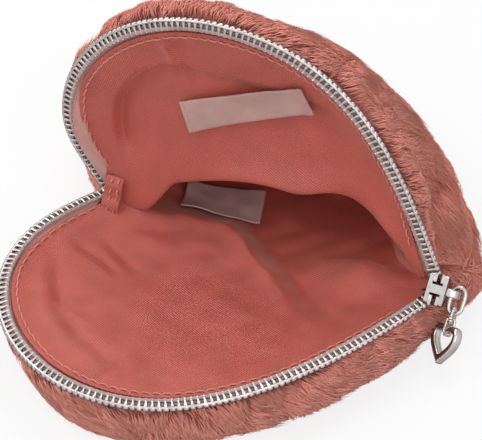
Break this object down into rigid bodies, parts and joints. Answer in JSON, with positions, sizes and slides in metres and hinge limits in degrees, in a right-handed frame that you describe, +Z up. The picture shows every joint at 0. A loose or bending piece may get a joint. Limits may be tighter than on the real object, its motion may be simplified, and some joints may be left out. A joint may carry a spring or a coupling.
{
  "type": "cosmetic bag",
  "caption": "Heart-shaped plush cosmetic bag lying open, with a twill lining, a coil zip along half of its edge and a pull chain with an open heart pendant.",
  "frame": {"origin": "on the flat underside, below the middle of the line from the heart's notch to its tip", "axes": "+Z up, +X from the notch to the tip, -Y towards the open mouth"},
  "size_m": [0.1336, 0.1511, 0.0821],
  "materials": {
    "plush": "dense faux-fur pile",
    "twill": "satin twill",
    "webbing": "woven tape",
    "silver": "silvered coil",
    "satin": "woven ribbon",
    "thread": "sewing thread",
    "nickel": "polished nickel plate"
  },
  "bodies": {
    "pouch": {"front_fur_panel": "plush", "front_lining": "twill", "back_fur_pouch_half": "plush", "back_lining_pouch_half": "twill", "zip_tape_front": "webbing", "zip_coil_front": "silver", "topstitch_front": "thread", "notch_end_tab": "twill", "care_label": "satin", "tip_stop": "silver"},
    "flap": {"back_fur_flap_half": "plush", "back_lining_flap_half": "twill", "zip_tape_back": "webbing", "zip_coil_back": "silver", "topstitch_back": "thread", "woven_label": "satin"},
    "slider": {"slider_body": "nickel", "slider_crown": "nickel"},
    "pull_link": {"pull_link": "nickel"},
    "ridged_ring": {"ridged_ring": "nickel"},
    "heart_pendant": {"heart_pendant": "nickel"}
  },
  "joints": [
    {"name": "mouth_fold", "type": "hinge", "parent": "pouch", "child": "flap", "pos_m": [0, 0, 0.0155], "axis": [1, 0, 0], "range_deg": [0, 95]},
    {"name": "zip_slide", "type": "slide", "parent": "pouch", "child": "slider", "axis": [0, -0.6428, 0.766], "range_m": [0, 0.006]},
    {"name": "pull_swing", "type": "hinge", "parent": "slider", "child": "pull_link", "pos_m": [0.0557, 0, 0.0155], "axis": [0, -0.6428, 0.766], "range_deg": [0, 150]},
    {"name": "ring_swing", "type": "hinge", "parent": "pull_link", "child": "ridged_ring", "pos_m": [0.0557, -0.00398, 0.01216], "axis": [1, 0, 0], "range_deg": [-60, 6]},
    {"name": "heart_swing", "type": "hinge", "parent": "ridged_ring", "child": "heart_pendant", "pos_m": [0.0557, -0.00592, 0.01053], "axis": [0, -0.6428, 0.766], "range_deg": [-3, 30]}
  ]
}
